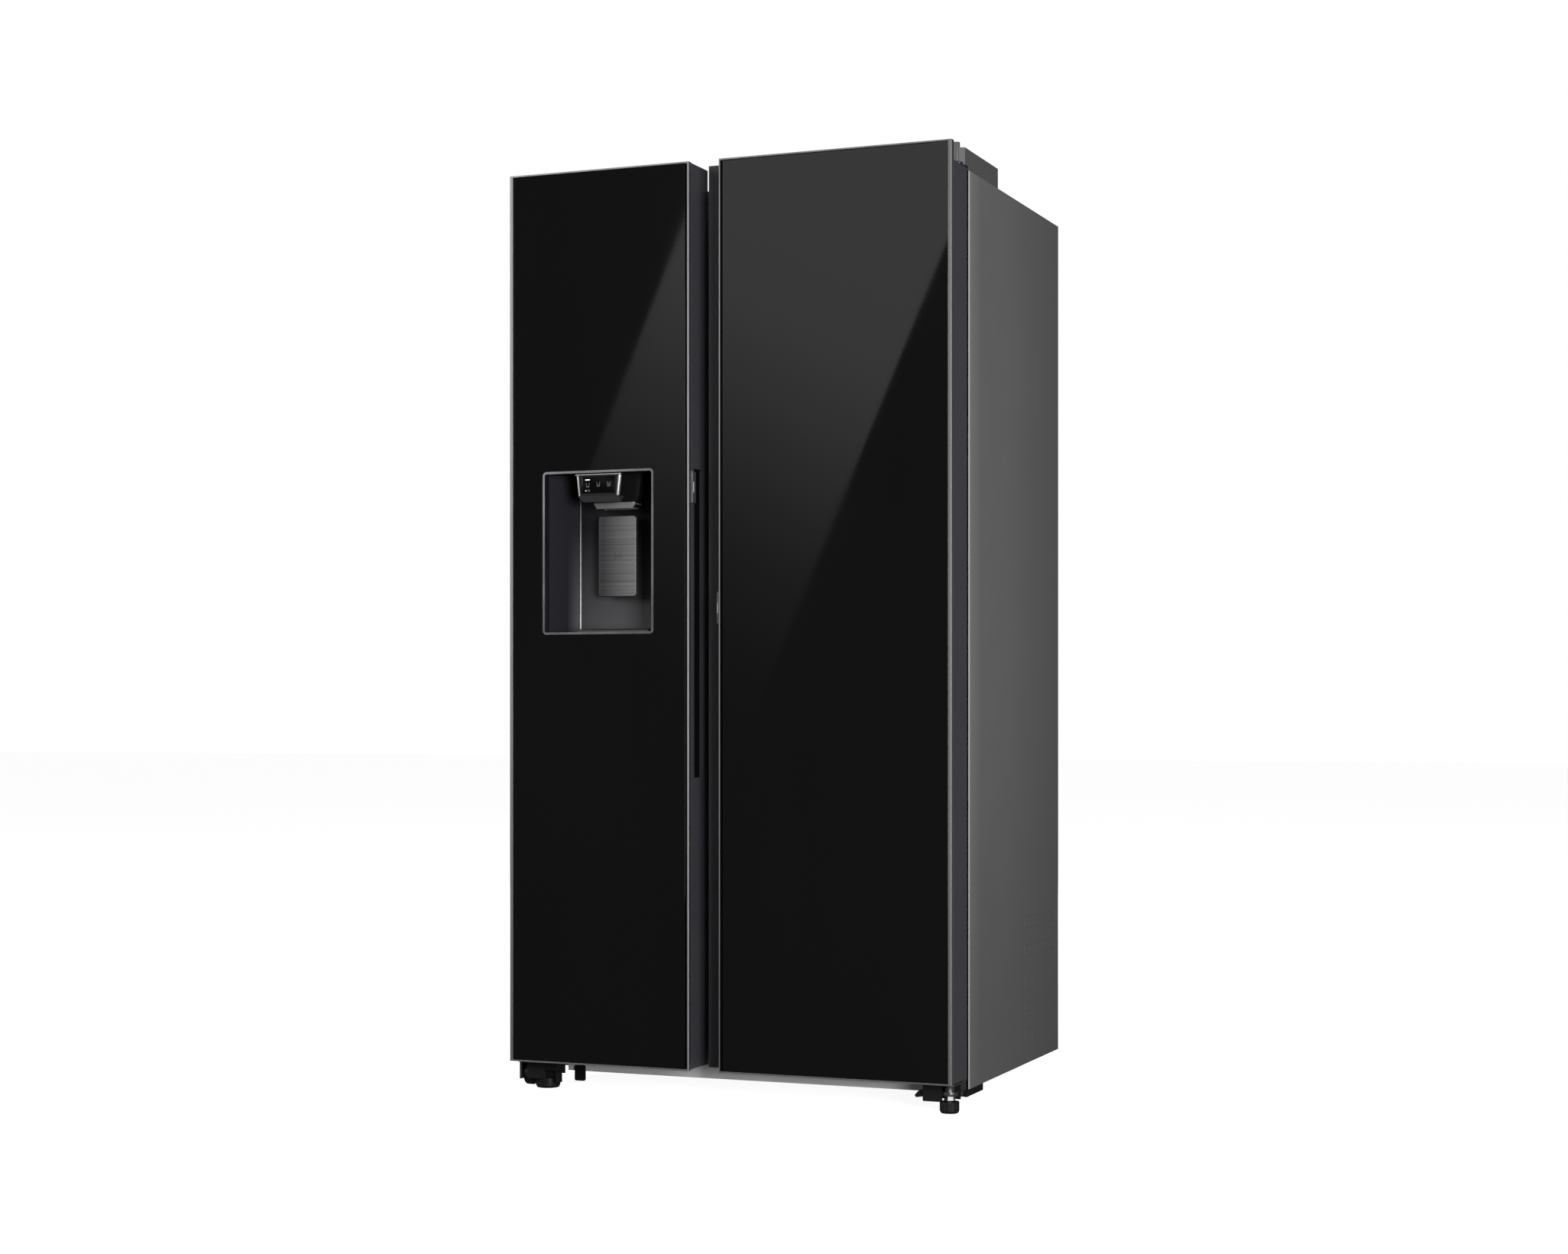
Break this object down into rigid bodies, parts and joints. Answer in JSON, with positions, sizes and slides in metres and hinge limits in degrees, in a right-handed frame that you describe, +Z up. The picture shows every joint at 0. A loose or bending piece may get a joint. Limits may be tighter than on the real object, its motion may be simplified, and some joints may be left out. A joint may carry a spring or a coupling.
{
  "type": "side by side refrigerator",
  "caption": "Free-standing fridge and freezer with side by side doors in black glass, a water and ice dispenser recess, shelves, drawers and door bins.",
  "frame": {"origin": "on the floor under the middle of the outline", "axes": "+X to the viewer's right as seen from the front, +Y to the back, +Z up"},
  "size_m": [0.912, 0.716, 1.804],
  "materials": {
    "painted_steel": "satin grey",
    "plain_steel": "zinc coated sheet",
    "rail": "satin light grey",
    "foam": "rigid foam",
    "white_plastic": "smooth",
    "clear_plastic": "clear",
    "glass_shelf": "clear",
    "black_glass": "polished black",
    "frame_metal": "satin",
    "door_metal": "satin dark grey",
    "seal": "matte",
    "cover_plastic": "fine grained",
    "hinge_steel": "satin black",
    "black_plastic": "moulded",
    "niche_plastic": "satin",
    "panel_plastic": "glossy",
    "paddle_steel": "brushed",
    "trim_metal": "bright",
    "lamp": "frosted",
    "copper": "bare",
    "compressor_black": "black enamel",
    "fan_plastic": "moulded",
    "bright_fasteners": "zinc",
    "pad_plastic": "satin"
  },
  "bodies": {
    "cabinet": {"cabinet_side_right": "painted_steel", "cabinet_side_left": "painted_steel", "cabinet_top": "painted_steel", "back_panels": "plain_steel", "cabinet_base": "plain_steel", "lower_rail": "rail", "cabinet_foam": "foam", "freezer_liner": "white_plastic", "fridge_liner": "white_plastic", "mullion_cover": "rail", "glass_shelves": "glass_shelf", "shelf_trims": "frame_metal", "air_covers": "white_plastic", "led_lamps": "lamp", "evaporator": "copper", "compressor": "compressor_black", "condenser": "copper", "water_valve": "fan_plastic", "power_inlet": "black_plastic", "screws": "bright_fasteners", "hinge_covers": "cover_plastic", "door_hinges": "hinge_steel", "floor_brackets": "black_plastic"},
    "left_door": {"left_door_glass": "black_glass", "left_door_trim": "frame_metal", "left_door_shell": "door_metal", "left_door_foam": "foam", "left_door_liner": "white_plastic", "left_door_gasket": "seal", "left_door_bins": "clear_plastic", "dispenser_trim": "trim_metal", "dispenser_niche": "niche_plastic", "dispenser_panel": "panel_plastic", "dispenser_spout": "niche_plastic", "left_touch_pad": "pad_plastic", "ice_bin": "clear_plastic", "ice_maker": "white_plastic"},
    "right_door": {"right_door_glass": "black_glass", "right_door_trim": "frame_metal", "right_door_shell": "door_metal", "right_door_foam": "foam", "right_door_liner": "white_plastic", "right_door_gasket": "seal", "right_door_bins": "clear_plastic", "right_touch_pad": "pad_plastic"},
    "freezer_drawer_lower": {"freezer_drawer_lower": "clear_plastic"},
    "freezer_drawer_upper": {"freezer_drawer_upper": "clear_plastic"},
    "crisper_lower": {"crisper_lower": "clear_plastic"},
    "crisper_upper": {"crisper_upper": "clear_plastic"},
    "front_foot_left": {"front_foot_left": "black_plastic"},
    "front_foot_right": {"front_foot_right": "black_plastic"},
    "front_roller_left": {"front_roller_left": "black_plastic"},
    "rear_roller_left": {"rear_roller_left": "black_plastic"},
    "rear_roller_right": {"rear_roller_right": "black_plastic"},
    "freezer_fan": {"freezer_fan": "fan_plastic"},
    "condenser_fan": {"condenser_fan": "fan_plastic"},
    "dispenser_paddle": {"dispenser_paddle": "paddle_steel"},
    "ice_flap": {"ice_flap": "black_plastic"},
    "ice_auger": {"ice_auger": "white_plastic"},
    "dairy_lid": {"dairy_lid": "clear_plastic"}
  },
  "joints": [
    {"name": "left_door_hinge", "type": "hinge", "parent": "cabinet", "child": "left_door", "pos_m": [-0.44, -0.28, 0.9], "axis": [0, 0, -1], "range_deg": [0, 110]},
    {"name": "right_door_hinge", "type": "hinge", "parent": "cabinet", "child": "right_door", "pos_m": [0.44, -0.28, 0.9], "axis": [0, 0, 1], "range_deg": [0, 110]},
    {"name": "freezer_drawer_lower_slide", "type": "slide", "parent": "cabinet", "child": "freezer_drawer_lower", "axis": [0, -1, 0], "range_m": [0, 0.192]},
    {"name": "freezer_drawer_upper_slide", "type": "slide", "parent": "cabinet", "child": "freezer_drawer_upper", "axis": [0, -1, 0], "range_m": [0, 0.192]},
    {"name": "crisper_lower_slide", "type": "slide", "parent": "cabinet", "child": "crisper_lower", "axis": [0, -1, 0], "range_m": [0, 0.192]},
    {"name": "crisper_upper_slide", "type": "slide", "parent": "cabinet", "child": "crisper_upper", "axis": [0, -1, 0], "range_m": [0, 0.192]},
    {"name": "paddle_hinge", "type": "hinge", "parent": "left_door", "child": "dispenser_paddle", "pos_m": [-0.243, -0.3075, 1.117], "axis": [1, 0, 0], "range_deg": [0, 4.5], "stiffness_Nm_per_rad": 2},
    {"name": "ice_flap_hinge", "type": "hinge", "parent": "left_door", "child": "ice_flap", "pos_m": [-0.243, -0.301, 1.2005], "axis": [1, 0, 0], "range_deg": [0, 70]},
    {"name": "ice_auger_spin", "type": "hinge", "parent": "left_door", "child": "ice_auger", "pos_m": [-0.243, -0.208, 1.352], "axis": [1, 0, 0], "continuous": true},
    {"name": "dairy_lid_hinge", "type": "hinge", "parent": "right_door", "child": "dairy_lid", "pos_m": [0.1875, -0.159, 1.658], "axis": [1, 0, 0], "range_deg": [0, 80]},
    {"name": "left_foot_turn", "type": "hinge", "parent": "cabinet", "child": "front_foot_left", "pos_m": [-0.403, -0.296, 0.01], "axis": [0, 0, 1], "continuous": true},
    {"name": "right_foot_turn", "type": "hinge", "parent": "cabinet", "child": "front_foot_right", "pos_m": [0.4375, -0.314, 0.01], "axis": [0, 0, 1], "continuous": true},
    {"name": "front_roller_spin", "type": "hinge", "parent": "cabinet", "child": "front_roller_left", "pos_m": [-0.4415, -0.292, 0.0245], "axis": [1, 0, 0], "continuous": true},
    {"name": "rear_roller_left_spin", "type": "hinge", "parent": "cabinet", "child": "rear_roller_left", "pos_m": [-0.3675, 0.312, 0.016], "axis": [1, 0, 0], "continuous": true},
    {"name": "rear_roller_right_spin", "type": "hinge", "parent": "cabinet", "child": "rear_roller_right", "pos_m": [0.3675, 0.312, 0.016], "axis": [1, 0, 0], "continuous": true},
    {"name": "freezer_fan_spin", "type": "hinge", "parent": "cabinet", "child": "freezer_fan", "pos_m": [-0.253, 0.262, 1.18], "axis": [0, 1, 0], "continuous": true},
    {"name": "condenser_fan_spin", "type": "hinge", "parent": "cabinet", "child": "condenser_fan", "pos_m": [0.081, 0.245, 0.15], "axis": [1, 0, 0], "continuous": true}
  ],
  "couplings": [
    {"joint": "freezer_drawer_lower_slide", "follows": "left_door_hinge", "m_per_rad": 0.1},
    {"joint": "freezer_drawer_upper_slide", "follows": "left_door_hinge", "m_per_rad": 0.1},
    {"joint": "crisper_lower_slide", "follows": "right_door_hinge", "m_per_rad": 0.1},
    {"joint": "crisper_upper_slide", "follows": "right_door_hinge", "m_per_rad": 0.1},
    {"joint": "ice_flap_hinge", "follows": "paddle_hinge", "ratio": 15}
  ]
}
